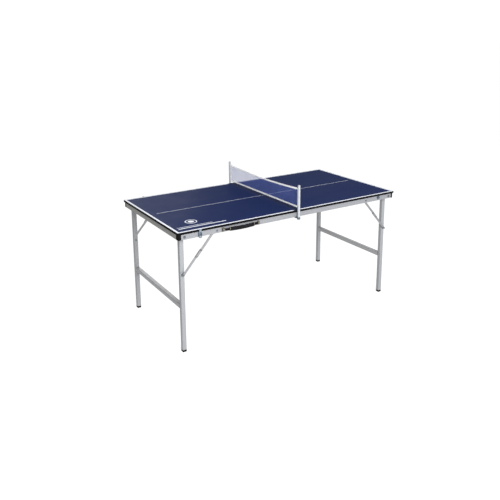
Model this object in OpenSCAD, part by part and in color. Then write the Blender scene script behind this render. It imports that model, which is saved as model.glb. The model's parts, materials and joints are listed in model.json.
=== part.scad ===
// Folding ping pong table with a net that lifts out of sockets at its sides.
// Frame: X runs along the length, Y across, Z up; the origin is on the floor below the middle of the table.
// Front is the side with the carrying handle, at negative Y. Left and right are seen from the front.

/* [Table] */
// Overall length of the open table, over the edge trim
top_length = 1524; // [1300:4:1900]
// Overall width of the table, over the edge trim
top_width = 762; // [660:2:930]
// Height of the playing surface
top_height = 699; // [620:1:850]
// Thickness of the playing panel
panel_t = 12; // [9:0.5:18]
// How far the edge trim stands out from the panel
trim_t = 3; // [2.5:0.5:6]
// Gap between the two halves when the table is open
joint_gap = 1; // [0.6:0.1:3]
// Rounding of the panel's outer corners
panel_corner_r = 4; // [1:0.5:12]

/* [Rails] */
// Height of the aluminium rails
rail_h = 30; // [28:1:45]
// Thickness of the aluminium rails, across
rail_w = 18; // [14:1:26]
// Wall of the rails
rail_wall = 1.6; // [1.2:0.1:3]
// How far the rails stand back under the trim
rail_setback = 5; // [3:0.5:12]
// Depth of the two grooves along each rail's outer face
rail_groove = 0.5; // [0.2:0.1:0.9]

/* [Legs] */
// Side of the square leg tube
leg_size = 25; // [20:1:30]
// Wall of the leg tube
leg_wall = 1.5; // [1:0.1:2.5]
// Rounding of the leg tube's edges
leg_r = 4; // [2:0.5:5]
// Distance from the table's end to the leg pivots
leg_inset = 42; // [38:1:90]
// Gap between the rail and the leg tube, which the pivot bush fills
leg_gap = 22; // [21:1:30]
// Height of the pivots above the rail's lower edge
pivot_rise = 14; // [13.5:0.5:16]
// Height of the middle of the crossbar
crossbar_z = 263; // [150:1:340]
// Height of the visible part of the rubber foot
foot_h = 13; // [8:1:20]
// Radius of the leg pivot bolt
bolt_r = 4; // [3:0.25:5]
// Running clearance between a pin or bolt and what turns on it
run_clear = 0.05; // [0.02:0.01:0.1]
// Side clearance between pieces that turn past each other
side_clear = 0.4; // [0.3:0.05:0.8]

/* [Stays] */
// Distance from the leg pivot to the stay's upper pivot
stay_reach = 192; // [160:1:215]
// Distance from the leg pivot down to the stay's lower bolt
stay_drop = 220; // [218:1:260]
// Width of the flat stay links
stay_w = 13; // [10:0.5:15]
// Thickness of the flat stay links
stay_t = 2.5; // [1.5:0.25:3]
// Overlap of the upper link past the knee
stay_tail = 40; // [20:1:40]
// Radius of the stay rivets
stay_rivet_r = 2.5; // [2:0.25:3]

/* [Centre hinge] */
// Radius of the hinge knuckles
knuckle_r = 3; // [2.5:0.25:4]
// Radius of the hinge pins
hinge_pin_r = 1.5; // [1:0.25:1.75]
// Length of each hinge, along the joint
hinge_length = 70; // [50:1:110]
// Distance of each hinge from the middle of the table
hinge_offset = 250; // [160:1:280]
// Thickness of the hinge leaves
leaf_t = 2; // [1.5:0.25:2.5]

/* [Latches] */
// Distance of the latches and catches from the middle of the table
latch_x = 631; // [560:1:640]
// Width of the latch body
latch_w = 20; // [18:0.5:24]
// Thickness of the latch's sheet metal
latch_t = 1.2; // [1:0.1:1.4]

/* [Handle] */
// Distance from the middle of the table to the middle of the handle
handle_x = 382; // [200:1:400]
// Distance between the inner faces of the two handle brackets
handle_span = 210; // [180:1:260]
// Length of the ribbed grip
grip_length = 146; // [110:1:150]
// Height of the ribbed grip
grip_h = 22; // [18:0.5:24]
// Thickness of the ribbed grip
grip_t = 13; // [10:0.5:14]
// How far the handle bows out in its middle
handle_bow = 14; // [10:0.5:14]

/* [Net] */
// Radius of the round net posts
post_r = 7.7; // [6:0.1:9.5]
// Gap between the edge trim and a net post
post_gap = 0.4; // [0.3:0.1:1.5]
// Depth of the sockets that hold the posts
socket_depth = 13; // [10:0.5:18]
// Wall of the sockets
socket_wall = 2; // [1.5:0.1:3]
// Height of the net's top edge above the playing surface, at the posts
net_h = 132; // [100:1:160]
// Sag of the net's top edge in the middle
net_sag = 14; // [0:1:25]
// Height of the gap under the net
net_gap = 13; // [8:1:25]
// Width of the tapes along the net's top and bottom
tape_w = 11; // [8:0.5:16]
// Width of the tapes at the net's ends
end_tape_w = 7; // [5:0.5:12]

/* [Hidden] */
$fn = 48;

// Levels and faces that several pieces share
half_l = top_length / 2;
half_w = top_width / 2;
eps = 0.01;
panel_z = top_height - panel_t;
rail_z = panel_z - rail_h;
rail_x = half_l - rail_setback;
rail_y = half_w - rail_setback;
rail_in_y = rail_y - rail_w;
joint_x = joint_gap / 2;
pivot_z = rail_z + pivot_rise;
leg_x = half_l - leg_inset;
leg_y = rail_in_y - leg_gap;
leg_mid_y = leg_y - leg_size / 2;
leg_top = pivot_z + 8;
head_h = 3.5;
bolt_head_r = 7.5;
washer_t = 1.2;
nut_h = 5;

// The stay: its links lie flat along the rail when the leg is folded
stay_x = leg_x - stay_reach;
stay_span = sqrt(pow(stay_reach, 2) + pow(stay_drop, 2));
stay_upper_l = (stay_span - (stay_drop - stay_reach)) / 2;
stay_lower_l = stay_span - stay_upper_l;
stay_angle = atan2(stay_drop, stay_reach);
stay_bolt_z = pivot_z - stay_drop;
rivet_head_h = 1.5;
lower_stay_y = rail_in_y - 11;
upper_stay_y = lower_stay_y + stay_t + 2.5;
stay_bolt_r = 3;

// The centre hinge's pin is a little below the rails
hinge_drop = 3.5;
hinge_z = rail_z - hinge_drop;
leaf_reach = rail_w - 0.5;
knuckle_l = (hinge_length - 2 * side_clear) / 3;

// Latch, measured outward from the rail's face and up from the pivot
latch_rise = 11;
latch_z = rail_z + latch_rise;
latch_to_top = rail_h - latch_rise;
latch_out = 5;
latch_plate_t = 1.5;
latch_rivet_r = 1.5;
latch_rivet_head_r = 2.5;
base_rivet_z = [-5, latch_to_top - 7];
catch_rivet_z = [0, latch_to_top - 5];
ear_in = latch_w / 2 - latch_t;
lever_out = ear_in - 0.3;
lever_in = lever_out - latch_t;
claw_out = lever_in - 0.4;
claw_in = claw_out - 1.4;
claw_rise = latch_to_top - 10;
lever_tip = top_height + 2 - latch_z;

// Handle
handle_z = rail_z + rail_h / 2;
handle_out = 8;
handle_half = handle_span / 2;
handle_r = (pow(handle_half, 2) + pow(handle_bow, 2)) / (2 * handle_bow);
handle_pin_r = 2;
strap_t = 5;
strap_h = 13;
lug_r = 5;
lug_l = 16;

// Net, posts and sockets
post_y = half_w + post_gap + post_r;
post_cap = 16;
post_cap_chamfer = 2;
post_wall = 1.5;
socket_top = rail_z + 2;
socket_floor = socket_top - socket_depth;
socket_clear = 0.15;
socket_plate_t = 2.5;
socket_plate_w = 18;
socket_plate_in = rail_y - rail_w + 2;
socket_rivet_r = 1.5;
net_top = top_height + net_h;
net_bottom = top_height + net_gap;
net_half = post_y - post_r - 0.4;
mesh_half = net_half - end_tape_w;
tape_t = 2.4;
net_t = 1.2;

// A rectangle with round corners, centred
module rounded_rect(w, h, r) {
  square([w - 2 * r, h], center = true);
  square([w, h - 2 * r], center = true);
  for (sx = [-1, 1], sy = [-1, 1])
    translate([sx * (w / 2 - r), sy * (h / 2 - r)]) circle(r);
}

module tube_section(w, h, r, wall) {
  difference() {
    rounded_rect(w, h, r);
    rounded_rect(w - 2 * wall, h - 2 * wall, max(r - wall, 0.5));
  }
}

// Across-the-table cylinder from y0 to y1
module rod_y(r, y0, y1) {
  translate([0, y0, 0]) rotate([-90, 0, 0]) cylinder(r = r, h = y1 - y0);
}

// Lengthwise cylinder from x0 to x1
module rod_x(r, x0, x1) {
  translate([x0, 0, 0]) rotate([0, 90, 0]) cylinder(r = r, h = x1 - x0);
}

module block(x0, x1, y0, y1, z0, z1) {
  translate([x0, y0, z0]) cube([x1 - x0, y1 - y0, z1 - z0]);
}

module on_right() {
  mirror([1, 0, 0]) children();
}

module on_back() {
  mirror([0, 1, 0]) children();
}

module front_and_back() {
  children();
  on_back() children();
}

// ---- one half of the top, drawn as the left one ----

module half_outline(out) {
  reach = half_l - trim_t + out;
  side = half_w - trim_t + out;
  r = panel_corner_r + out;
  translate([-reach + r, -side]) square([reach - r - joint_x - trim_t, 2 * side]);
  translate([-reach, -side + r]) square([2 * r, 2 * (side - r)]);
  for (sy = [-1, 1]) translate([-reach + r, sy * (side - r)]) circle(r);
}

module panel() {
  translate([0, 0, panel_z]) linear_extrude(panel_t) half_outline(0);
}

// Section of the trim: outward from the panel's edge, then up
module trim_section() {
  r = trim_t / 2 - 0.1;
  square([trim_t - r, panel_t]);
  translate([0, r]) square([trim_t, panel_t - 2 * r]);
  for (z = [r, panel_t - r]) translate([trim_t - r, z]) circle(r);
}

module trim() {
  end = half_l - trim_t;
  side = half_w - trim_t;
  run = end - panel_corner_r - joint_x;
  translate([0, 0, panel_z]) {
    front_and_back() {
      translate([-joint_x, -side, 0]) rotate([90, 0, -90]) linear_extrude(run) trim_section();
      translate([-end + panel_corner_r, -side + panel_corner_r, 0])
        rotate([0, 0, 180]) rotate_extrude(angle = 90) translate([panel_corner_r, 0]) trim_section();
    }
    translate([-end, side - panel_corner_r, 0]) rotate([90, 0, 0])
      linear_extrude(2 * (side - panel_corner_r)) mirror([1, 0]) trim_section();
    translate([-joint_x - trim_t, -side, 0]) cube([trim_t, 2 * side, panel_t]);
  }
}

// Section of a rail: across, then up, with two grooves in the outer face at negative first axis
module rail_section() {
  difference() {
    translate([0, rail_h / 2]) tube_section(rail_w, rail_h, 1.5, rail_wall);
    for (z = [rail_h / 3, 2 * rail_h / 3])
      translate([-rail_w / 2 - 1, z - 0.6]) square([1 + rail_groove, 1.2]);
  }
}

side_screw_x = [0.16, 0.5, 0.84] * half_l;
end_screw_y = [-0.65, 0, 0.65] * half_w;
joint_screw_y = [-0.5, 0, 0.5] * hinge_offset;
screw_r = 2;
screw_head_r = 4;
screw_head_h = 2;
corner_long = 24;

module screw_hole() {
  translate([0, 0, rail_z - 1]) cylinder(r = screw_r, h = rail_h + 2);
}

module side_rail() {
  difference() {
    translate([-joint_x, -rail_y + rail_w / 2, rail_z]) rotate([90, 0, -90])
      linear_extrude(rail_x - rail_w - joint_x) mirror([1, 0]) rail_section();
    for (x = side_screw_x) translate([-x, -rail_y + rail_w / 2, 0]) screw_hole();
    translate([-leg_x, 0, pivot_z]) rod_y(bolt_r, -rail_y - 1, -rail_in_y + 1);
    translate([-stay_x, 0, pivot_z]) rod_y(stay_rivet_r, -rail_y - 1, -rail_in_y + 1);
  }
}

module end_rail() {
  reach = rail_y - corner_long;
  difference() {
    translate([-rail_x + rail_w / 2, reach, rail_z]) rotate([90, 0, 0])
      linear_extrude(2 * reach) rail_section();
    for (y = end_screw_y) translate([-rail_x + rail_w / 2, y, 0]) screw_hole();
  }
}

module joint_rail() {
  difference() {
    translate([-joint_x - rail_w / 2, rail_in_y, rail_z]) rotate([90, 0, 0])
      linear_extrude(2 * rail_in_y) translate([0, rail_h / 2]) tube_section(rail_w, rail_h, 1.5, rail_wall);
    for (y = joint_screw_y) translate([-joint_x - rail_w / 2, y, 0]) screw_hole();
    for (s = [-1, 1], t = [-1, 1])
      translate([-joint_x - rail_w / 2, s * hinge_offset + t * hinge_length / 4, rail_z - 1])
        cylinder(r = screw_r, h = rail_wall + 1);
  }
}

module corner_block() {
  r = 8;
  tongue = 9;
  slack = 0.2;
  tongue_w = rail_w - 2 * rail_wall - 2 * slack;
  tongue_h = rail_h - 2 * rail_wall - 2 * slack;
  translate([-rail_x, -rail_y, rail_z]) {
    linear_extrude(rail_h) {
      translate([r, 0]) square([rail_w - r, corner_long]);
      translate([0, r]) square([rail_w, corner_long - r]);
      translate([r, r]) circle(r);
    }
    translate([rail_w - eps, (rail_w - tongue_w) / 2, (rail_h - tongue_h) / 2])
      cube([tongue + eps, tongue_w, tongue_h]);
    translate([(rail_w - tongue_w) / 2, corner_long - eps, (rail_h - tongue_h) / 2])
      cube([tongue_w, tongue + eps, tongue_h]);
  }
}

// A pan-head screw that goes up through a rail, to the panel
module panel_screw() {
  translate([0, 0, rail_z - screw_head_h]) cylinder(r = screw_head_r, h = screw_head_h);
  translate([0, 0, rail_z - eps]) cylinder(r = screw_r, h = rail_h);
}

module half_screws() {
  for (x = side_screw_x, sy = [-1, 1])
    translate([-x, sy * (rail_y - rail_w / 2), 0]) panel_screw();
  for (y = end_screw_y) translate([-rail_x + rail_w / 2, y, 0]) panel_screw();
  for (y = joint_screw_y) translate([-joint_x - rail_w / 2, y, 0]) panel_screw();
  for (s = [-1, 1], t = [-1, 1])
    translate([-joint_x - rail_w / 2, s * hinge_offset + t * hinge_length / 4,
               rail_z - leaf_t - rivet_head_h]) {
      cylinder(r = 3, h = rivet_head_h);
      translate([0, 0, rivet_head_h - eps]) cylinder(r = screw_r, h = leaf_t + rail_wall + eps);
    }
}

// ---- leg pivot, bush and stay rivet ----

module leg_bolt() {
  inner = leg_y - leg_size - side_clear;
  translate([-leg_x, 0, pivot_z]) {
    rod_y(bolt_head_r, -rail_y - washer_t, -rail_y);
    rod_y(bolt_head_r - 2, -rail_y - head_h, -rail_y - washer_t + eps);
    rod_y(bolt_r, -rail_y - eps, -inner + nut_h);
    rod_y(bolt_head_r - 1, -inner, -inner + nut_h);
  }
}

module bush() {
  translate([-leg_x, 0, pivot_z]) difference() {
    rod_y(bolt_r + 3, -rail_in_y, -leg_y - side_clear);
    rod_y(bolt_r, -rail_in_y - 1, -leg_y + 1);
  }
}

module stay_rivet() {
  translate([-stay_x, 0, pivot_z]) {
    rod_y(5, -rail_y - 1.8, -rail_y);
    rod_y(stay_rivet_r, -rail_y - eps, -upper_stay_y + eps);
    rod_y(4.5, -rail_in_y, -upper_stay_y - stay_t - side_clear);
    rod_y(4.5, -upper_stay_y + side_clear, -upper_stay_y + side_clear + rivet_head_h);
    rod_y(stay_rivet_r, -upper_stay_y - eps, -upper_stay_y + side_clear + eps);
  }
}

// ---- legs ----

module leg() {
  difference() {
    translate([-leg_x, -leg_mid_y, foot_h]) linear_extrude(leg_top - foot_h)
      tube_section(leg_size, leg_size, leg_r, leg_wall);
    translate([-leg_x, 0, pivot_z]) rod_y(bolt_r + run_clear, -leg_y - 1, -leg_y + leg_size + 1);
    translate([-leg_x, 0, stay_bolt_z]) rod_y(stay_bolt_r, -leg_y - 1, -leg_y + leg_size + 1);
  }
}

module crossbar() {
  translate([-leg_x, leg_y - leg_size, crossbar_z]) rotate([90, 0, 0])
    linear_extrude(2 * (leg_y - leg_size)) tube_section(leg_size, leg_size, leg_r, leg_wall);
}

module foot() {
  plug = leg_size - 2 * leg_wall - 0.4;
  wide = leg_size - 0.5;
  narrow = leg_size - 5;
  taper = foot_h * 0.45;
  profile = [[-narrow / 2, 0], [narrow / 2, 0], [wide / 2, taper], [wide / 2, foot_h],
    [-wide / 2, foot_h], [-wide / 2, taper]];
  translate([-leg_x, -leg_mid_y, 0]) {
    intersection() {
      linear_extrude(foot_h) rounded_rect(wide, wide, leg_r);
      translate([0, wide, 0]) rotate([90, 0, 0]) linear_extrude(2 * wide) polygon(profile);
      translate([-wide, 0, 0]) rotate([90, 0, 90]) linear_extrude(2 * wide) polygon(profile);
    }
    translate([0, 0, foot_h - eps]) linear_extrude(18) rounded_rect(plug, plug, leg_r - leg_wall);
  }
}

// Bolt, spacer and nut that carry the lower end of a stay on the leg
module stay_bolt() {
  translate([-leg_x, 0, stay_bolt_z]) {
    rod_y(5, -lower_stay_y - stay_t - side_clear - 2.5, -lower_stay_y - stay_t - side_clear);
    rod_y(stay_bolt_r, -lower_stay_y - stay_t - side_clear - eps, -leg_y + leg_size + 4);
    rod_y(6, -lower_stay_y + side_clear, -leg_y);
    rod_y(5.5, -leg_y + leg_size, -leg_y + leg_size + 4);
  }
}

// ---- stays ----

// A flat link with round ends from the origin along -X, drilled at the origin with a running hole
module link(length, hole_r) {
  difference() {
    union() {
      translate([-length, -stay_w / 2]) square([length, stay_w]);
      circle(stay_w / 2);
      translate([-length, 0]) circle(stay_w / 2);
    }
    circle(hole_r);
  }
}

// Turns a flat shape into the plane of the stays: its second axis up, its thickness outward from y
module in_stay_plane(y) {
  translate([0, -y, 0]) rotate([90, 0, 0]) linear_extrude(stay_t) children();
}

module upper_stay() {
  translate([-stay_x, 0, pivot_z]) in_stay_plane(upper_stay_y) rotate(stay_angle)
    difference() {
      link(stay_upper_l + stay_tail, stay_rivet_r + run_clear);
      translate([-stay_upper_l, 0]) circle(stay_rivet_r);
      translate([-stay_upper_l - stay_tail, 0]) circle(stay_rivet_r - 0.5);
    }
}

// The knee rivet and the stop rivet, both fixed in the upper link
module knee_rivets() {
  translate([-stay_x, 0, pivot_z]) rotate([0, -stay_angle, 0]) {
    translate([-stay_upper_l, 0, 0]) {
      rod_y(4.5, -upper_stay_y - stay_t - 1.5, -upper_stay_y - stay_t);
      rod_y(stay_rivet_r, -upper_stay_y - stay_t - eps, -upper_stay_y);
    }
    translate([-stay_upper_l - stay_tail, 0, 0]) {
      rod_y(3.5, -upper_stay_y - stay_t - 1.2, -upper_stay_y - stay_t);
      rod_y(stay_rivet_r - 0.5, -upper_stay_y - stay_t - eps, -upper_stay_y);
    }
  }
}

module lower_stay() {
  translate([-leg_x, 0, stay_bolt_z]) {
    in_stay_plane(lower_stay_y) rotate(stay_angle + 180) difference() {
      link(stay_lower_l, stay_bolt_r + run_clear);
      translate([-stay_lower_l, 0]) circle(stay_rivet_r);
    }
    rotate([0, -stay_angle, 0]) translate([stay_lower_l, 0, 0]) {
      rod_y(stay_rivet_r, -lower_stay_y - stay_t, -lower_stay_y + eps);
      rod_y(4.5, -lower_stay_y, -lower_stay_y + 1.5);
    }
  }
}

// ---- centre hinges ----

// Places children at each of the two hinges, with the pin along Y through the origin
module at_hinges() {
  for (s = [-1, 1]) translate([0, s * hinge_offset, hinge_z]) children();
}

// A leaf with knuckles from y0 to y1 for each pair in own, cut back beside each pair in other
module leaf(own, other, bore_r) {
  difference() {
    union() {
      block(-leaf_reach, -0.8, -hinge_length / 2, hinge_length / 2, hinge_drop - leaf_t, hinge_drop);
      for (k = own) rod_y(knuckle_r, k[0], k[1]);
    }
    for (k = other)
      block(-knuckle_r - side_clear, 1, k[0] - side_clear, k[1] + side_clear, -knuckle_r, hinge_drop + 1);
    for (k = own) rod_y(bore_r, k[0] - 1, k[1] + 1);
    for (t = [-1, 1]) translate([-joint_x - rail_w / 2, t * hinge_length / 4, 0])
      cylinder(r = screw_r, h = hinge_drop + 1);
  }
}

knuckle_mid = [[-knuckle_l / 2, knuckle_l / 2]];
knuckle_ends = [
  [-hinge_length / 2, -hinge_length / 2 + knuckle_l],
  [hinge_length / 2 - knuckle_l, hinge_length / 2]
];

// ---- latches ----

// Places children on the front rail: origin on the rail's face at the latch pivot's height
module at_latch() {
  translate([-latch_x, -rail_y, latch_z]) children();
}

// A sheet cheek in the plane across the rail: outward, then up, given as a flat shape, from x0 to x1
module cheek(x0, x1) {
  translate([x0, 0, 0]) rotate([90, 0, 90]) linear_extrude(x1 - x0) mirror([1, 0]) children();
}

module latch_rivet() {
  rod_y(latch_rivet_r, -latch_plate_t, 0);
  rod_y(latch_rivet_head_r, -latch_plate_t - 0.8, -latch_plate_t);
}

module latch_base() {
  at_latch() {
    difference() {
      block(-latch_w / 2, latch_w / 2, -latch_plate_t, 0, -9, latch_to_top - 3);
      for (z = base_rivet_z) translate([0, 0, z]) rod_y(latch_rivet_r, -2, 1);
    }
    for (z = base_rivet_z) translate([0, 0, z]) latch_rivet();
    for (s = [-1, 1]) mirror([s < 0 ? 1 : 0, 0, 0]) {
      cheek(ear_in, ear_in + latch_t) {
        translate([1, -4]) square([latch_out - 1, 8]);
        translate([latch_out, 0]) circle(4);
      }
      translate([0, -latch_out, 0]) {
        rod_x(1, lever_in, ear_in + eps);
        rod_x(1.8, ear_in + latch_t, ear_in + latch_t + 0.8);
      }
    }
  }
}

module latch_lever() {
  web_out = latch_out + 1.6;
  web_from = latch_to_top - 5;
  at_latch() {
    for (s = [-1, 1]) mirror([s < 0 ? 1 : 0, 0, 0]) {
      cheek(lever_in, lever_out) difference() {
        union() {
          translate([latch_out, 0]) circle(2.8);
          translate([latch_out - 2.8, 0]) square([5.6, claw_rise + 2]);
          translate([latch_out - 1, claw_rise])
            square([web_out + latch_t - latch_out + 1, web_from - claw_rise + 4]);
        }
        translate([latch_out, 0]) circle(1 + run_clear);
      }
    }
    block(-lever_out, lever_out, -web_out - latch_t, -web_out, web_from, latch_to_top);
    block(-7, 7, -web_out - latch_t, -web_out, latch_to_top - eps, lever_tip - 3);
    translate([0, -web_out, lever_tip - 3]) rotate([90, 0, 0]) linear_extrude(latch_t) difference() {
      circle(7);
      translate([-8, -16]) square([16, 16]);
      translate([-8, 3]) square([16, 8]);
    }
    translate([0, -latch_out + 0.4, claw_rise]) rod_x(1, -lever_in - eps, lever_in + eps);
  }
}

// The claw hangs from the lever's cross pin and ends in a rounded loop
module latch_claw() {
  foot = 26;
  back = latch_out - 1.9;
  at_latch() {
    translate([0, 0, claw_rise]) difference() {
      union() {
        for (s = [-1, 1]) mirror([s < 0 ? 1 : 0, 0, 0]) cheek(claw_in, claw_out) {
          translate([latch_out - 0.4, 0]) circle(2.2);
          translate([latch_out - 1.9, -foot + 11]) square([3, foot - 11]);
        }
        translate([0, -back, -foot + 8]) rotate([90, 0, 0]) linear_extrude(3) difference() {
          union() {
            circle(latch_w / 2 - 1);
            translate([-latch_w / 2 + 1, 0]) square([latch_w - 2, 3.5]);
          }
          translate([-latch_w, -foot]) square([2 * latch_w, foot - 8]);
          translate([-claw_in, -3]) square([2 * claw_in, 8]);
        }
      }
      translate([0, -latch_out + 0.4, 0]) rod_x(1 + run_clear, -latch_w, latch_w);
    }
  }
}

module latch_catch() {
  catch_half_w = 9;
  catch_out = 6;
  at_latch() {
    difference() {
      block(-catch_half_w, catch_half_w, -latch_plate_t, 0, -4, latch_to_top - 2);
      for (z = catch_rivet_z) translate([0, 0, z]) rod_y(latch_rivet_r, -2, 1);
    }
    for (z = catch_rivet_z) translate([0, 0, z]) latch_rivet();
    block(-5, 5, -catch_out, -latch_plate_t + eps, 4, 6);
    block(-catch_half_w, catch_half_w, -catch_out - 1.5, -catch_out + eps, 4, 11);
  }
}

// ---- handle ----

// Places children at the handle's pivot line: origin at its middle
module at_handle() {
  translate([-handle_x, -rail_y - handle_out, handle_z]) children();
}

module handle_bracket() {
  body = 12;
  rivet_x = -handle_half - body / 2 - 0.2;
  rivet_z = [-7.5, 7.5];
  hole_r = 1.5;
  at_handle() {
    difference() {
      union() {
        block(-handle_half - body, -handle_half - 0.4, 0, handle_out, -10, 10);
        rod_x(6, -handle_half - body, -handle_half - 0.4);
      }
      for (z = rivet_z) translate([rivet_x, 0, z]) rod_y(hole_r, -1, handle_out + 1);
    }
    rod_x(handle_pin_r, -handle_half - 1, -handle_half + lug_l - 4);
    for (z = rivet_z) translate([rivet_x, 0, z]) {
      rod_y(hole_r, 0, handle_out);
      rod_y(hole_r + 0.8, -1, 0);
    }
  }
}

// An arc of the handle, bowed outward, with a section given across and up
module bowed(half_length) {
  sweep = asin(half_length / handle_r);
  translate([0, handle_r - handle_bow, 0]) rotate([0, 0, 270 - sweep])
    rotate_extrude(angle = 2 * sweep, $fn = 360) translate([handle_r, 0]) children();
}

module handle_strap() {
  at_handle() difference() {
    union() {
      bowed(handle_half - 5) rounded_rect(strap_t, strap_h, 2);
      for (s = [-1, 1]) mirror([s < 0 ? 1 : 0, 0, 0]) rod_x(lug_r, -handle_half, -handle_half + lug_l);
    }
    for (s = [-1, 1]) mirror([s < 0 ? 1 : 0, 0, 0])
      rod_x(handle_pin_r + run_clear, -handle_half - 1, -handle_half + lug_l - 3);
  }
}

module handle_grip() {
  at_handle() bowed(grip_length / 2) difference() {
    rounded_rect(grip_t, grip_h, grip_t / 2 - 1);
    rounded_rect(strap_t, strap_h, 2);
  }
}

// ---- net ----

// The front post, a tube with a closed chamfered top
module net_post() {
  foot = socket_floor + socket_wall;
  tip = net_top + post_cap;
  translate([0, -post_y, 0]) difference() {
    union() {
      translate([0, 0, foot]) cylinder(r = post_r, h = tip - post_cap_chamfer - foot);
      translate([0, 0, tip - post_cap_chamfer - eps])
        cylinder(r1 = post_r, r2 = post_r - post_cap_chamfer, h = post_cap_chamfer + eps);
    }
    translate([0, 0, foot - 1]) cylinder(r = post_r - post_wall, h = net_top - foot);
  }
}

// The front socket: a cup for the post's foot, on a plate riveted under the left rail
module net_socket() {
  difference() {
    union() {
      translate([0, -post_y, socket_floor]) cylinder(r = post_r + socket_wall, h = socket_depth);
      block(-socket_plate_w, -joint_x - side_clear, -post_y, -socket_plate_in,
        rail_z - socket_plate_t, rail_z);
    }
    translate([0, -post_y, socket_floor + socket_wall]) cylinder(r = post_r + socket_clear, h = socket_depth);
    at_socket_rivet() cylinder(r = socket_rivet_r, h = rail_z);
  }
}

module at_socket_rivet() {
  translate([-socket_plate_w / 2, -rail_y + rail_w / 2, 0]) children();
}

module socket_rivet() {
  at_socket_rivet() {
    translate([0, 0, rail_z - socket_plate_t - rivet_head_h]) cylinder(r = 3, h = rivet_head_h);
    translate([0, 0, rail_z - socket_plate_t - eps]) cylinder(r = socket_rivet_r, h = socket_plate_t + eps);
  }
}

// Height of the net's top edge, which hangs in a curve, at a distance from the middle
function top_edge(s) = net_top - net_sag * (1 - pow(s / net_half, 2));

net_steps = 24;
mesh_marks = [for (i = [0:net_steps]) (2 * i / net_steps - 1) * mesh_half];
tape_marks = concat([-net_half], mesh_marks, [net_half]);

// A sheet of the net between a height below its top edge and, if low is 0, another below that edge
module net_piece(marks, thickness, drop, low, low_drop) {
  last = len(marks) - 1;
  upper = [for (s = marks) [s, top_edge(s) - drop]];
  lower = [for (i = [last:-1:0]) [marks[i], low > 0 ? low : top_edge(marks[i]) - low_drop]];
  rotate([0, 0, 90]) translate([0, thickness / 2, 0]) rotate([90, 0, 0])
    linear_extrude(thickness) polygon(concat(upper, lower));
}

module net_mesh() {
  net_piece(mesh_marks, net_t, tape_w, net_bottom + tape_w, 0);
}

module net_top_tape() {
  net_piece(tape_marks, tape_t, 0, 0, tape_w);
}

module net_bottom_tape() {
  translate([-tape_t / 2, -net_half, net_bottom]) cube([tape_t, 2 * net_half, tape_w]);
}

// The upright tape at the net's front end
module net_end_tape() {
  net_piece([-net_half, -mesh_half], tape_t, tape_w, net_bottom + tape_w, 0);
}

// ---- one drawing for each node ----

color([0.16, 0.22, 0.45]) panel();  // left_panel
color([0.05, 0.05, 0.05]) trim();  // left_trim
color([0.78, 0.79, 0.81]) side_rail();  // left_front_rail
color([0.78, 0.79, 0.81]) on_back() side_rail();  // left_back_rail
color([0.78, 0.79, 0.81]) end_rail();  // left_end_rail
color([0.78, 0.79, 0.81]) joint_rail();  // left_joint_rail
color([0.06, 0.06, 0.06]) front_and_back() corner_block();  // left_corner_blocks
color([0.6, 0.6, 0.6]) half_screws();  // left_screws
color([0.7, 0.7, 0.72]) front_and_back() leg_bolt();  // left_leg_bolts
color([0.1, 0.1, 0.1]) front_and_back() bush();  // left_bushes
color([0.7, 0.7, 0.72]) front_and_back() stay_rivet();  // left_stay_rivets
color([0.6, 0.62, 0.64]) at_hinges() leaf(knuckle_ends, knuckle_mid, hinge_pin_r);  // left_hinge_leaves
color([0.6, 0.6, 0.6]) at_hinges() rod_y(hinge_pin_r, -hinge_length / 2, hinge_length / 2);  // hinge_pins
color([0.45, 0.5, 0.55]) front_and_back() latch_base();  // latch_bases
color([0.72, 0.7, 0.64]) {  // handle_brackets
    handle_bracket();
    translate([-2 * handle_x, 0, 0]) on_right() handle_bracket();
  }

color([0.16, 0.22, 0.45]) on_right() panel();  // right_panel
color([0.05, 0.05, 0.05]) on_right() trim();  // right_trim
color([0.78, 0.79, 0.81]) on_right() side_rail();  // right_front_rail
color([0.78, 0.79, 0.81]) on_right() on_back() side_rail();  // right_back_rail
color([0.78, 0.79, 0.81]) on_right() end_rail();  // right_end_rail
color([0.78, 0.79, 0.81]) on_right() joint_rail();  // right_joint_rail
color([0.06, 0.06, 0.06]) on_right() front_and_back() corner_block();  // right_corner_blocks
color([0.6, 0.6, 0.6]) on_right() half_screws();  // right_screws
color([0.7, 0.7, 0.72]) on_right() front_and_back() leg_bolt();  // right_leg_bolts
color([0.1, 0.1, 0.1]) on_right() front_and_back() bush();  // right_bushes
color([0.7, 0.7, 0.72]) on_right() front_and_back() stay_rivet();  // right_stay_rivets
color([0.6, 0.62, 0.64]) on_right() at_hinges() leaf(knuckle_mid, knuckle_ends, hinge_pin_r + run_clear);  // right_hinge_leaves
color([0.45, 0.5, 0.55]) on_right() front_and_back() latch_catch();  // latch_catches

color([0.75, 0.76, 0.78]) leg();  // left_front_leg
color([0.75, 0.76, 0.78]) on_back() leg();  // left_back_leg
color([0.75, 0.76, 0.78]) crossbar();  // left_crossbar
color([0.04, 0.04, 0.04]) front_and_back() foot();  // left_feet
color([0.4, 0.45, 0.48]) front_and_back() stay_bolt();  // left_stay_bolts
color([0.75, 0.76, 0.78]) on_right() leg();  // right_front_leg
color([0.75, 0.76, 0.78]) on_right() on_back() leg();  // right_back_leg
color([0.75, 0.76, 0.78]) on_right() crossbar();  // right_crossbar
color([0.04, 0.04, 0.04]) on_right() front_and_back() foot();  // right_feet
color([0.4, 0.45, 0.48]) on_right() front_and_back() stay_bolt();  // right_stay_bolts

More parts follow.
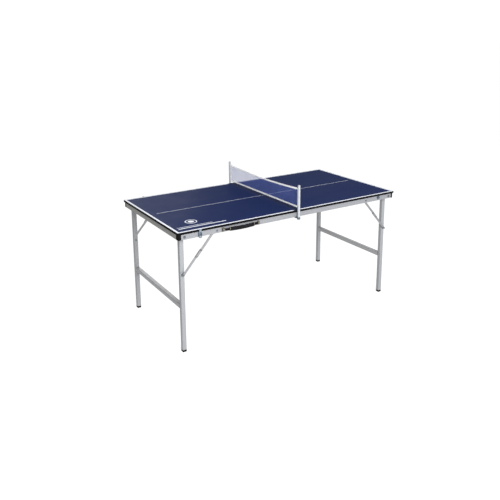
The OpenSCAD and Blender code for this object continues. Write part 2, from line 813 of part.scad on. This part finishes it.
color([0.72, 0.73, 0.75]) front_and_back() upper_stay();  // left_upper_stays
color([0.5, 0.5, 0.5]) front_and_back() knee_rivets();  // left_knee_rivets
color([0.72, 0.73, 0.75]) front_and_back() lower_stay();  // left_lower_stays
color([0.72, 0.73, 0.75]) on_right() front_and_back() upper_stay();  // right_upper_stays
color([0.5, 0.5, 0.5]) on_right() front_and_back() knee_rivets();  // right_knee_rivets
color([0.72, 0.73, 0.75]) on_right() front_and_back() lower_stay();  // right_lower_stays

color([0.6, 0.65, 0.7]) latch_lever();  // front_latch_lever
color([0.35, 0.42, 0.5]) latch_claw();  // front_latch_claw
color([0.6, 0.65, 0.7]) on_back() latch_lever();  // back_latch_lever
color([0.35, 0.42, 0.5]) on_back() latch_claw();  // back_latch_claw

color([0.06, 0.06, 0.06]) handle_strap();
color([0.1, 0.1, 0.1]) handle_grip();

color([0.35, 0.42, 0.44]) front_and_back() net_socket();  // net_sockets
color([0.6, 0.6, 0.6]) front_and_back() socket_rivet();  // socket_rivets
color([0.8, 0.81, 0.83]) net_post();  // front_net_post
color([0.8, 0.81, 0.83]) on_back() net_post();  // back_net_post
color([0.2, 0.3, 0.58]) net_mesh();
color([0.92, 0.93, 0.95]) net_top_tape();
color([0.92, 0.93, 0.95]) net_bottom_tape();
color([0.92, 0.93, 0.95]) front_and_back() net_end_tape();  // net_end_tapes
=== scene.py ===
import json
import math

import bpy
from mathutils import Matrix, Vector


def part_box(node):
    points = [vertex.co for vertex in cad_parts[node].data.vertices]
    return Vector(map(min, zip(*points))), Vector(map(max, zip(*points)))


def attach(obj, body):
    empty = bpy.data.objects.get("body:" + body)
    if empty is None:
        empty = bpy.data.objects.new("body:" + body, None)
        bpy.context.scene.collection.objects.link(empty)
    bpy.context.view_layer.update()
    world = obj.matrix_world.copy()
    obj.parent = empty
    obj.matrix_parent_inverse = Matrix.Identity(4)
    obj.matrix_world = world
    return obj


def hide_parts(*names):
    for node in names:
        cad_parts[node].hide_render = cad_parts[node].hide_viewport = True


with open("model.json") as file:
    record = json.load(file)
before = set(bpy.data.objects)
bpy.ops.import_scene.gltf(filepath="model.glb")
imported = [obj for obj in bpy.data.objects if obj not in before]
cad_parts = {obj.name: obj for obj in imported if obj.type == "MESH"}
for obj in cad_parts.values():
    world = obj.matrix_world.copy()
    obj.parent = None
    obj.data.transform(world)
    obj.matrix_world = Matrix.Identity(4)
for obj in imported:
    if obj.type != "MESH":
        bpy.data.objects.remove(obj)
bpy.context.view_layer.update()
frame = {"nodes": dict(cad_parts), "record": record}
nodes = frame["nodes"]


cameraView = {
    "place": (-2.0101, -3.0724, 1.7067),
    "heading": 57.915,   # degrees from +X towards +Y
    "pitch": 13.110,     # degrees below the horizon
    "roll": -0.389,
    "lens": 43.764,
    "shiftY": -0.1567,
}


def setCamera(view):
    data = bpy.data.cameras.new("viewCamera")
    data.lens = view["lens"]
    data.sensor_width = 36
    data.shift_y = view["shiftY"]
    data.clip_end = 100
    camera = bpy.data.objects.new("viewCamera", data)
    bpy.context.scene.collection.objects.link(camera)
    turn = Matrix.Rotation(math.radians(view["heading"] - 90), 4, "Z")
    turn = turn @ Matrix.Rotation(math.radians(90 - view["pitch"]), 4, "X")
    turn = turn @ Matrix.Rotation(math.radians(view["roll"]), 4, "Z")
    camera.matrix_world = Matrix.Translation(view["place"]) @ turn
    bpy.context.scene.camera = camera


lightRig = {
    "skyHeights": (0.0, 0.05, 0.13, 0.35, 1.0),   # heights at which the sky's strengths are given
    "skyRight": (1.08, 1.08, 0.60, 1.40, 0.20),
    "skyLeft": (0.50, 0.45, 0.15, 0.05, 1.70),
    "skyTurn": (-0.80, 0.10),   # how far towards +X the left sky gives way to the right one
    "keySize": 2.2,
    "keyPower": 380,
    "keyPlace": (-0.8, -4.2, 2.6),
    "fillSize": 1.4,
    "fillPower": 26,
    "fillPlace": (1.2, 5.0, 2.3),
    "floorGlow": 0.85,
    "floorGlowLeft": 0.38,
    "floorLeft": (-0.986, 0.168),   # across the floor towards its dimmer side
    "floorTurn": (1.48, 4.20),      # distances that way where it starts and stops dimming
}


def areaLight(name, place, size, power):
    data = bpy.data.lights.new(name, "AREA")
    data.shape = "SQUARE"
    data.size = size
    data.energy = power
    light = bpy.data.objects.new(name, data)
    bpy.context.scene.collection.objects.link(light)
    light.location = place
    light.rotation_euler = (Vector((0, 0, 0.55)) - Vector(place)).to_track_quat("-Z", "Y").to_euler()


def setLight(rig):
    world = bpy.data.worlds.new("studioSky")
    world.use_nodes = True
    bpy.context.scene.world = world
    tree = world.node_tree
    tree.nodes.clear()
    place = tree.nodes.new("ShaderNodeTexCoord")
    split = tree.nodes.new("ShaderNodeSeparateXYZ")
    tree.links.new(place.outputs["Generated"], split.inputs[0])
    side = tree.nodes.new("ShaderNodeMapRange")
    side.inputs["From Min"].default_value, side.inputs["From Max"].default_value = rig["skyTurn"]
    tree.links.new(split.outputs["X"], side.inputs["Value"])
    strength = tree.nodes.new("ShaderNodeMix")
    tree.links.new(side.outputs["Result"], strength.inputs["Factor"])
    for slot, levels in ((2, rig["skyLeft"]), (3, rig["skyRight"])):
        top = max(levels)
        level = tree.nodes.new("ShaderNodeFloatCurve")
        curve = level.mapping.curves[0]
        while len(curve.points) < len(levels):
            curve.points.new(0.5, 0.5)
        for point, height, value in zip(curve.points, rig["skyHeights"], levels):
            point.location = (height, value / top)
            point.handle_type = "VECTOR"
        level.mapping.update()
        tree.links.new(split.outputs["Z"], level.inputs["Value"])
        bright = tree.nodes.new("ShaderNodeMath")
        bright.operation = "MULTIPLY"
        bright.inputs[1].default_value = top
        tree.links.new(level.outputs[0], bright.inputs[0])
        tree.links.new(bright.outputs[0], strength.inputs[slot])
    sky = tree.nodes.new("ShaderNodeBackground")
    sky.inputs["Color"].default_value = (1, 1, 1, 1)
    tree.links.new(strength.outputs[0], sky.inputs["Strength"])
    out = tree.nodes.new("ShaderNodeOutputWorld")
    tree.links.new(sky.outputs[0], out.inputs["Surface"])
    areaLight("keyLight", rig["keyPlace"], rig["keySize"], rig["keyPower"])
    areaLight("fillLight", rig["fillPlace"], rig["fillSize"], rig["fillPower"])


def setFloor(rig):
    bpy.ops.object.select_all(action="DESELECT")
    bpy.ops.mesh.primitive_plane_add(size=160, location=(0, 0, 0))
    floor = bpy.context.object
    floor.name = "studioFloor"
    paper = bpy.data.materials.new("floorPaper")
    paper.use_nodes = True
    tree = paper.node_tree
    bsdf = tree.nodes["Principled BSDF"]
    bsdf.inputs["Base Color"].default_value = (0.2, 0.2, 0.2, 1)
    bsdf.inputs["Roughness"].default_value = 0.9
    bsdf.inputs["Specular IOR Level"].default_value = 0.1
    bsdf.inputs["Emission Color"].default_value = (1, 1, 1, 1)
    place = tree.nodes.new("ShaderNodeTexCoord")
    across = tree.nodes.new("ShaderNodeVectorMath")
    across.operation = "DOT_PRODUCT"
    across.inputs[1].default_value = (*rig["floorLeft"], 0)
    tree.links.new(place.outputs["Object"], across.inputs[0])
    glow = tree.nodes.new("ShaderNodeMapRange")
    glow.inputs["From Min"].default_value, glow.inputs["From Max"].default_value = rig["floorTurn"]
    glow.inputs["To Min"].default_value = rig["floorGlow"]
    glow.inputs["To Max"].default_value = rig["floorGlowLeft"]
    tree.links.new(across.outputs["Value"], glow.inputs["Value"])
    tree.links.new(glow.outputs["Result"], bsdf.inputs["Emission Strength"])
    floor.data.materials.append(paper)


setCamera(cameraView)
setLight(lightRig)
setFloor(lightRig)
bpy.context.scene.view_settings.view_transform = "Standard"
print("camera, light and floor set")


def addSocket(group, name, way, kind, value=None):
    socket = group.interface.new_socket(name=name, in_out=way, socket_type=kind)
    if value is not None:
        socket.default_value = value
    return socket


def grainGroup():   # fine even grain: a height for bump
    group = bpy.data.node_groups.new("fineGrain", "ShaderNodeTree")
    addSocket(group, "Vector", "INPUT", "NodeSocketVector")
    addSocket(group, "Size", "INPUT", "NodeSocketFloat", 900.0)
    addSocket(group, "Height", "OUTPUT", "NodeSocketFloat")
    source = group.nodes.new("NodeGroupInput")
    sink = group.nodes.new("NodeGroupOutput")
    noise = group.nodes.new("ShaderNodeTexNoise")
    noise.inputs["Detail"].default_value = 3
    group.links.new(source.outputs["Vector"], noise.inputs["Vector"])
    group.links.new(source.outputs["Size"], noise.inputs["Scale"])
    group.links.new(noise.outputs["Fac"], sink.inputs["Height"])
    return group


def streakGroup():   # long drawn lines along the axis with the smallest scale
    group = bpy.data.node_groups.new("drawnLines", "ShaderNodeTree")
    addSocket(group, "Vector", "INPUT", "NodeSocketVector")
    addSocket(group, "Stretch", "INPUT", "NodeSocketVector", (1.0, 1.0, 1.0))
    addSocket(group, "Height", "OUTPUT", "NodeSocketFloat")
    source = group.nodes.new("NodeGroupInput")
    sink = group.nodes.new("NodeGroupOutput")
    scale = group.nodes.new("ShaderNodeVectorMath")
    scale.operation = "MULTIPLY"
    noise = group.nodes.new("ShaderNodeTexNoise")
    noise.inputs["Scale"].default_value = 1.0
    noise.inputs["Detail"].default_value = 4
    noise.inputs["Roughness"].default_value = 0.65
    group.links.new(source.outputs["Vector"], scale.inputs[0])
    group.links.new(source.outputs["Stretch"], scale.inputs[1])
    group.links.new(scale.outputs[0], noise.inputs["Vector"])
    group.links.new(noise.outputs["Fac"], sink.inputs["Height"])
    return group


def smudgeGroup():   # broad uneven patches from handling, 0 to 1
    group = bpy.data.node_groups.new("handling", "ShaderNodeTree")
    addSocket(group, "Vector", "INPUT", "NodeSocketVector")
    addSocket(group, "Size", "INPUT", "NodeSocketFloat", 9.0)
    addSocket(group, "Mask", "OUTPUT", "NodeSocketFloat")
    source = group.nodes.new("NodeGroupInput")
    sink = group.nodes.new("NodeGroupOutput")
    noise = group.nodes.new("ShaderNodeTexNoise")
    noise.inputs["Detail"].default_value = 5
    noise.inputs["Roughness"].default_value = 0.6
    spread = group.nodes.new("ShaderNodeMapRange")
    spread.inputs["From Min"].default_value = 0.35
    spread.inputs["From Max"].default_value = 0.68
    group.links.new(source.outputs["Vector"], noise.inputs["Vector"])
    group.links.new(source.outputs["Size"], noise.inputs["Scale"])
    group.links.new(noise.outputs["Fac"], spread.inputs["Value"])
    group.links.new(spread.outputs["Result"], sink.inputs["Mask"])
    return group


fineGrain = grainGroup()
drawnLines = streakGroup()
handling = smudgeGroup()


class Finish:   # a material under construction, with short ways to add nodes
    def __init__(self, name):
        self.material = bpy.data.materials.new(name)
        self.material.use_nodes = True
        self.tree = self.material.node_tree
        self.bsdf = self.tree.nodes["Principled BSDF"]
        self.place = self.add("ShaderNodeTexCoord").outputs["Object"]

    def add(self, kind, **values):
        node = self.tree.nodes.new(kind)
        for name, value in values.items():
            setattr(node, name, value)
        return node

    def link(self, source, target):
        self.tree.links.new(source, target)

    def effect(self, group, **values):
        node = self.add("ShaderNodeGroup", node_tree=group)
        self.link(self.place, node.inputs["Vector"])
        for name, value in values.items():
            node.inputs[name].default_value = value
        return node.outputs[0]

    def math(self, operation, a, b=None):
        node = self.add("ShaderNodeMath", operation=operation)
        for slot, value in enumerate((a, b)):
            if value is None:
                continue
            if isinstance(value, (int, float)):
                node.inputs[slot].default_value = value
            else:
                self.link(value, node.inputs[slot])
        return node.outputs[0]

    def spread(self, value, low, high):   # a 0 to 1 value spread from low to high
        node = self.add("ShaderNodeMapRange")
        node.inputs["To Min"].default_value = low
        node.inputs["To Max"].default_value = high
        self.link(value, node.inputs["Value"])
        return node.outputs["Result"]

    def blend(self, share, first, second):   # two colours, or a colour socket and a colour
        node = self.add("ShaderNodeMix", data_type="RGBA")
        self.link(share, node.inputs["Factor"])
        for slot, value in ((6, first), (7, second)):
            if isinstance(value, tuple):
                node.inputs[slot].default_value = (*value, 1)
            else:
                self.link(value, node.inputs[slot])
        return node.outputs[2]

    def bump(self, height, depth, edge=None):   # depth in metres; edge rounds sharp corners
        node = self.add("ShaderNodeBump")
        node.inputs["Strength"].default_value = 1.0
        node.inputs["Distance"].default_value = depth
        self.link(height, node.inputs["Height"])
        if edge:
            soft = self.add("ShaderNodeBevel", samples=4)
            soft.inputs["Radius"].default_value = edge
            self.link(soft.outputs["Normal"], node.inputs["Normal"])
        self.link(node.outputs["Normal"], self.bsdf.inputs["Normal"])

    def set(self, **values):
        names = {"colour": "Base Color", "roughness": "Roughness", "metallic": "Metallic",
                 "specular": "Specular IOR Level", "sheen": "Sheen Weight"}
        for name, value in values.items():
            socket = self.bsdf.inputs[names[name]]
            if isinstance(value, (int, float)):
                socket.default_value = value
            elif isinstance(value, tuple):
                socket.default_value = (*value, 1)
            else:
                self.link(value, socket)
        return self.material


topFacts = {
    "blue": (0.0055, 0.0131, 0.059),
    "blueWorn": (0.0062, 0.0142, 0.062),
    "white": (0.60, 0.62, 0.67),
    "board": (0.27, 0.19, 0.12),
    "border": 0.0125,
    "borderStop": 0.024,   # the side lines stop this far from the joint
    "centreLine": 0.003,
    "centreLineEnd": 0.709,
    "ballPlace": (-0.612, -0.236),
    "ballRadius": 0.034,
    "ballRing": 0.0055,
    "stripes": [(-0.585, 0.285, -0.3225, 0.0085), (-0.6225, 0.21, -0.3035, 0.0045)],
}


def playingSurface(facts):   # blue laminate with printed white lines, plain board below
    f = Finish("blueLaminate")
    low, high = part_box("left_panel")
    split = f.add("ShaderNodeSeparateXYZ")
    f.link(f.place, split.inputs[0])
    x, y, z = split.outputs
    ax = f.math("ABSOLUTE", x)
    ay = f.math("ABSOLUTE", y)
    endLine = f.math("GREATER_THAN", ax, -low.x - facts["border"])
    sideLine = f.math("GREATER_THAN", ay, high.y - facts["border"])
    sideLine = f.math("MULTIPLY", sideLine, f.math("GREATER_THAN", ax, facts["borderStop"]))
    middle = f.math("LESS_THAN", ay, facts["centreLine"] / 2)
    middle = f.math("MULTIPLY", middle, f.math("LESS_THAN", ax, facts["centreLineEnd"]))
    printed = f.math("MAXIMUM", f.math("MAXIMUM", endLine, sideLine), middle)
    dx = f.math("SUBTRACT", x, facts["ballPlace"][0])
    dy = f.math("SUBTRACT", y, facts["ballPlace"][1])
    away = f.math("SQRT", f.math("ADD", f.math("MULTIPLY", dx, dx), f.math("MULTIPLY", dy, dy)))
    ring = f.math("LESS_THAN", away, facts["ballRadius"])
    hole = f.math("GREATER_THAN", away, facts["ballRadius"] - facts["ballRing"])
    dot = f.math("LESS_THAN", away, facts["ballRadius"] * 0.5)
    ring = f.math("MAXIMUM", f.math("MULTIPLY", ring, hole), dot)
    printed = f.math("MAXIMUM", printed, ring)
    for midX, length, midY, width in facts["stripes"]:
        inX = f.math("LESS_THAN", f.math("ABSOLUTE", f.math("SUBTRACT", x, midX)), length / 2)
        inY = f.math("LESS_THAN", f.math("ABSOLUTE", f.math("SUBTRACT", y, midY)), width / 2)
        printed = f.math("MAXIMUM", printed, f.math("MULTIPLY", inX, inY))
    wear = f.effect(handling, Size=5.0)
    blue = f.blend(wear, facts["blue"], facts["blueWorn"])
    face = f.blend(printed, blue, facts["white"])
    up = f.math("GREATER_THAN", z, high.z - 0.0006)
    colour = f.blend(up, facts["board"], face)
    grain = f.effect(fineGrain, Size=1400.0)
    f.bump(grain, 0.00005)
    return f.set(colour=colour, roughness=f.spread(wear, 0.34, 0.42), specular=0.005)


def metalFinish(name, colour, roughness, stretch=None, metallic=1.0, edge=0.0006, depth=0.00002, tint=0.95):
    f = Finish(name)
    wear = f.effect(handling, Size=14.0)
    height = f.effect(drawnLines, Stretch=stretch) if stretch else f.effect(fineGrain, Size=1600.0)
    darker = tuple(c * tint for c in colour)
    tone = f.blend(wear, colour, darker)
    f.bump(height, depth, edge)
    return f.set(colour=tone, roughness=f.spread(wear, roughness, roughness * 1.08), metallic=metallic)


def plasticFinish(name, colour, roughness, grain=900.0, depth=0.00006, edge=0.0008, specular=0.2):
    f = Finish(name)
    wear = f.effect(handling, Size=20.0)
    lighter = tuple(c * 1.5 + 0.001 for c in colour)
    tone = f.blend(wear, colour, lighter)
    f.bump(f.effect(fineGrain, Size=grain), depth, edge)
    return f.set(colour=tone, roughness=f.spread(wear, roughness, roughness + 0.12), specular=specular)


def clothFinish(name, colour, dark, ribs, glow):   # woven tape or thread, with ribs across it
    f = Finish(name)
    weave = f.add("ShaderNodeTexWave", wave_type="BANDS", bands_direction="DIAGONAL")
    weave.inputs["Scale"].default_value = ribs
    weave.inputs["Distortion"].default_value = 0.6
    f.link(f.place, weave.inputs["Vector"])
    tone = f.blend(f.spread(weave.outputs["Fac"], 0.0, 0.6), colour, dark)
    f.bump(weave.outputs["Fac"], 0.0002)
    f.bsdf.inputs["Subsurface Weight"].default_value = glow
    f.bsdf.inputs["Subsurface Radius"].default_value = (0.03, 0.03, 0.03)
    f.bsdf.inputs["Subsurface Scale"].default_value = 1.0
    return f.set(colour=tone, roughness=0.85, sheen=0.2)


finishes = {
    "blueLaminate": playingSurface(topFacts),
    "blackTrim": plasticFinish("blackTrim", (0.0035, 0.0035, 0.004), 0.40, 700.0, specular=0.01),
    "railLong": metalFinish("railLong", (0.216, 0.222, 0.238), 0.48, (6.0, 900.0, 900.0), 0.35),
    "railAcross": metalFinish("railAcross", (0.24, 0.24, 0.232), 0.48, (900.0, 6.0, 900.0), 0.35),
    "cornerBlock": plasticFinish("cornerBlock", (0.0045, 0.0045, 0.005), 0.45, 1100.0, specular=0.01),
    "fastener": metalFinish("fastener", (0.15, 0.155, 0.175), 0.36),
    "blackNylon": plasticFinish("blackNylon", (0.02, 0.02, 0.02), 0.5),
    "hingeSteel": metalFinish("hingeSteel", (0.55, 0.56, 0.57), 0.34, (400.0, 8.0, 400.0)),
    "latchZinc": metalFinish("latchZinc", (0.15, 0.19, 0.24), 0.36),
    "latchBright": metalFinish("latchBright", (0.25, 0.30, 0.36), 0.36),
    "bracketNickel": metalFinish("bracketNickel", (0.17, 0.155, 0.13), 0.50),
    "legTube": metalFinish("legTube", (0.245, 0.252, 0.266), 0.46, (700.0, 700.0, 5.0), 0.35),
    "crossTube": metalFinish("crossTube", (0.275, 0.282, 0.294), 0.46, (700.0, 5.0, 700.0), 0.35),
    "footRubber": plasticFinish("footRubber", (0.0025, 0.0025, 0.0025), 0.65, 1500.0, specular=0.01),
    "stayStrip": metalFinish("stayStrip", (0.31, 0.315, 0.33), 0.46),
    "strapPlastic": plasticFinish("strapPlastic", (0.0030, 0.0030, 0.0034), 0.42, specular=0.03),
    "gripRubber": plasticFinish("gripRubber", (0.0050, 0.0050, 0.0060), 0.46, 1400.0, specular=0.03),
    "postPaint": metalFinish("postPaint", (0.30, 0.315, 0.345), 0.50, None, 0.0),
    "netThread": clothFinish("netThread", (0.030, 0.060, 0.26), (0.018, 0.04, 0.19), 500.0, 0.0),
    "netTape": clothFinish("netTape", (0.93, 0.94, 0.97), (0.86, 0.87, 0.92), 420.0, 1.0),
    "darkZinc": metalFinish("darkZinc", (0.12, 0.165, 0.18), 0.36),
}

slotFinish = {   # the record's slots and the finish that each shows
    "blue_laminate": "blueLaminate", "black_trim": "blackTrim", "rail_aluminium": "railLong",
    "black_block": "cornerBlock", "steel_fastener": "fastener", "bush_plastic": "blackNylon",
    "hinge_steel": "hingeSteel", "latch_zinc": "latchZinc", "bracket_nickel": "bracketNickel",
    "leg_aluminium": "legTube", "foot_rubber": "footRubber", "stay_steel": "stayStrip",
    "strap_plastic": "strapPlastic", "grip_rubber": "gripRubber", "post_paint": "postPaint",
    "net_mesh": "netThread", "net_tape": "netTape", "socket_zinc": "darkZinc",
    "screw_steel": "darkZinc",
}
acrossNodes = ["left_end_rail", "right_end_rail", "left_joint_rail", "right_joint_rail"]
crossNodes = ["left_crossbar", "right_crossbar"]
brightLatch = ["front_latch_lever", "back_latch_lever"]


def putFinish(obj, finish):
    obj.data.materials.clear()
    obj.data.materials.append(finishes[finish])


def dressFrame():
    for row in frame["record"]["subparts"]:
        putFinish(nodes[row["node"]], slotFinish[row["material_slot"]])
    for name in acrossNodes:
        putFinish(nodes[name], "railAcross")
    for name in crossNodes:
        putFinish(nodes[name], "crossTube")
    for name in brightLatch:
        putFinish(nodes[name], "latchBright")


dressFrame()
print("finishes on the frame")


def clearSelection():
    if bpy.context.object and bpy.context.object.mode != "OBJECT":
        bpy.ops.object.mode_set(mode="OBJECT")
    bpy.ops.object.select_all(action="DESELECT")


def settle(obj, name, finish, body):   # place goes into the mesh, then the piece rides
    clearSelection()
    obj.select_set(True)
    bpy.context.view_layer.objects.active = obj
    bpy.ops.object.transform_apply(location=True, rotation=True, scale=True)
    obj.name = name
    obj.data.name = name
    putFinish(obj, finish)
    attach(obj, body)
    return obj


def useModifier(obj, kind, **values):
    clearSelection()
    obj.select_set(True)
    bpy.context.view_layer.objects.active = obj
    modifier = obj.modifiers.new(kind.lower(), kind)
    for name, value in values.items():
        setattr(modifier, name, value)
    bpy.ops.object.modifier_apply(modifier=modifier.name)


def selectVerts(obj, test):
    bpy.ops.object.mode_set(mode="EDIT")
    bpy.ops.mesh.select_mode(type="VERT")
    bpy.ops.mesh.select_all(action="DESELECT")
    bpy.ops.object.mode_set(mode="OBJECT")
    for v in obj.data.vertices:
        v.select = test(v.co)
    bpy.ops.object.mode_set(mode="EDIT")


def smooth(obj, degrees=40):
    clearSelection()
    obj.select_set(True)
    bpy.context.view_layer.objects.active = obj
    bpy.ops.object.shade_smooth_by_angle(angle=math.radians(degrees))


# the handle's grip: an oval section swept along the bow, with raised ribs

gripFacts = {
    "span": 0.210,       # between the brackets
    "bow": 0.014,
    "strapThick": 0.005,
    "ribs": 29,
    "ribDepth": 0.0007,
    "thick": 0.013,
    "endRoom": 0.0005,   # left free at each end
    "stepsPerRib": 4,
    "collarWide": 0.003,
    "collarProud": 0.0006,
}


def handleArc(facts):
    low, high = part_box("handle_strap")
    radius = ((facts["span"] / 2) ** 2 + facts["bow"] ** 2) / (2 * facts["bow"])
    middle = Vector(((low.x + high.x) / 2, low.y + facts["strapThick"] / 2, (low.z + high.z) / 2))
    return middle, radius, middle + Vector((0, radius, 0))


# a closed oval bar along the bow, between two distances from its middle
def sweepOnHandle(facts, fromX, toX, wide, tall, steps):
    middle, radius, centre = handleArc(facts)
    clearSelection()
    bpy.ops.mesh.primitive_circle_add(vertices=28, radius=0.5, fill_type="NOTHING", location=middle,
                                      rotation=(0, math.pi / 2, 0))
    bar = bpy.context.object
    bpy.ops.object.mode_set(mode="EDIT")
    bpy.ops.mesh.select_all(action="SELECT")
    bpy.ops.transform.resize(value=(1, wide, tall), center_override=middle)
    start = math.asin(fromX / radius)
    bpy.ops.transform.rotate(value=-start, orient_axis="Z", center_override=centre)
    bpy.ops.mesh.spin(steps=steps, angle=start - math.asin(toX / radius), center=centre, axis=(0, 0, 1))
    bpy.ops.mesh.select_all(action="SELECT")
    bpy.ops.mesh.fill_holes(sides=0)
    bpy.ops.mesh.normals_make_consistent(inside=False)
    bpy.ops.object.mode_set(mode="OBJECT")
    return bar


def makeGrip(facts):
    low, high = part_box("handle_grip")
    middle, radius, centre = handleArc(facts)
    half = (high.x - low.x) / 2 - facts["endRoom"]
    tall = high.z - low.z
    wide = facts["thick"]
    steps = facts["ribs"] * facts["stepsPerRib"]
    bar = sweepOnHandle(facts, -half, half, wide, tall, steps)
    sweep = 2 * math.asin(half / radius)
    start = -sweep / 2

    def inRib(co):
        angle = math.atan2(co.x - centre.x, -(co.y - centre.y))
        step = round((angle - start) / (sweep / steps))
        return 1 < step < steps - 1 and step % facts["stepsPerRib"] in (2, 3)
    selectVerts(bar, inRib)
    bpy.ops.transform.shrink_fatten(value=facts["ribDepth"])
    clearSelection()
    smooth(bar, 60)
    settle(bar, "gripRibbed", "gripRubber", "handle")
    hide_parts("handle_grip")
    for side, at in (("Left", -half), ("Right", half)):
        a, b = sorted((at, at + math.copysign(facts["collarWide"], at)))
        ring = sweepOnHandle(facts, a, b, wide + 2 * facts["collarProud"], tall, 3)
        useModifier(ring, "BEVEL", width=0.0006, segments=2, limit_method="ANGLE")
        smooth(ring, 50)
        settle(ring, "gripCollar" + side, "bracketNickel", "handle")


makeGrip(gripFacts)
print("handle grip made")


# the net: knotted thread between two folded tapes

netFacts = {
    "pitch": 0.0066,
    "thread": 0.0017,
    "sag": 0.014,
    "tapeThick": 0.0022,
    "tapeSteps": 48,
    "tapeRows": 4,
    "tapeRoom": 0.0004,    # kept inside the tape's space at the top and the foot
    "tapeRipple": 0.0003,
    "tuck": 0.002,         # how far the threads reach into a tape
    "areaShare": 0.62,     # an area for the net, as a share of its rectangle
}


def netLine():   # front end, back end, and the levels of the tapes
    low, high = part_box("net_bottom_tape")
    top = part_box("net_top_tape")[1].z
    middle = (low.x + high.x) / 2
    return Vector((middle, low.y, 0)), Vector((middle, high.y, 0)), low.z, high.z, top


def onNet(share, z):   # share runs from 0 at the front post to 1 at the back post
    front, back, bottom, tapeTop, top = netLine()
    place = front.lerp(back, share)
    place.z = z
    return place


def sagAt(facts, share):
    t = 2 * share - 1
    return facts["sag"] * (1 - t * t)


# a sheet in the net's plane; levelAt(share, up) gives the height, up being 0 at the foot and 1 at the top
def netGrid(name, steps, rows, levelAt):
    clearSelection()
    bpy.ops.mesh.primitive_grid_add(x_subdivisions=steps, y_subdivisions=rows, size=1)
    sheet = bpy.context.object
    sheet.name = name
    for v in sheet.data.vertices:
        share, up = v.co.x + 0.5, v.co.y + 0.5
        v.co = onNet(share, levelAt(share, up))
    return sheet


def makeNet(facts):
    front, back, bottom, tapeTop, top = netLine()
    tape = tapeTop - bottom
    length = (back - front).length
    height = top - bottom

    def meshLevel(share, up):
        upper = top - tape - sagAt(facts, share) + facts["tuck"]
        lower = tapeTop - facts["tuck"]
        return lower + (upper - lower) * up
    steps = round(length / facts["pitch"])
    rows = round((height - 2 * tape) / facts["pitch"])
    net = netGrid("netThreads", steps, rows, meshLevel)
    useModifier(net, "WIREFRAME", thickness=facts["thread"], use_replace=True, use_even_offset=False)
    settle(net, "netThreads", "netThread", "net_set")
    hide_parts("net_mesh")

    for name, node, foot in (("netTopTape", "net_top_tape", lambda s: top - tape - sagAt(facts, s)),
                             ("netBottomTape", "net_bottom_tape", lambda s: bottom)):
        def tapeLevel(share, up):
            ripple = facts["tapeRipple"] * math.sin(share * 61) * math.sin(share * 17)
            edge = ripple if up in (0, 1) else 0
            return foot(share) + facts["tapeRoom"] + (tape - 2 * facts["tapeRoom"]) * up + edge
        strip = netGrid(name, facts["tapeSteps"], facts["tapeRows"], tapeLevel)
        useModifier(strip, "SOLIDIFY", thickness=facts["tapeThick"], offset=0)
        useModifier(strip, "BEVEL", width=0.0009, segments=3, limit_method="ANGLE")
        smooth(strip, 50)
        settle(strip, name, "netTape", "net_set")
        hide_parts(node)


makeNet(netFacts)
print("net made")
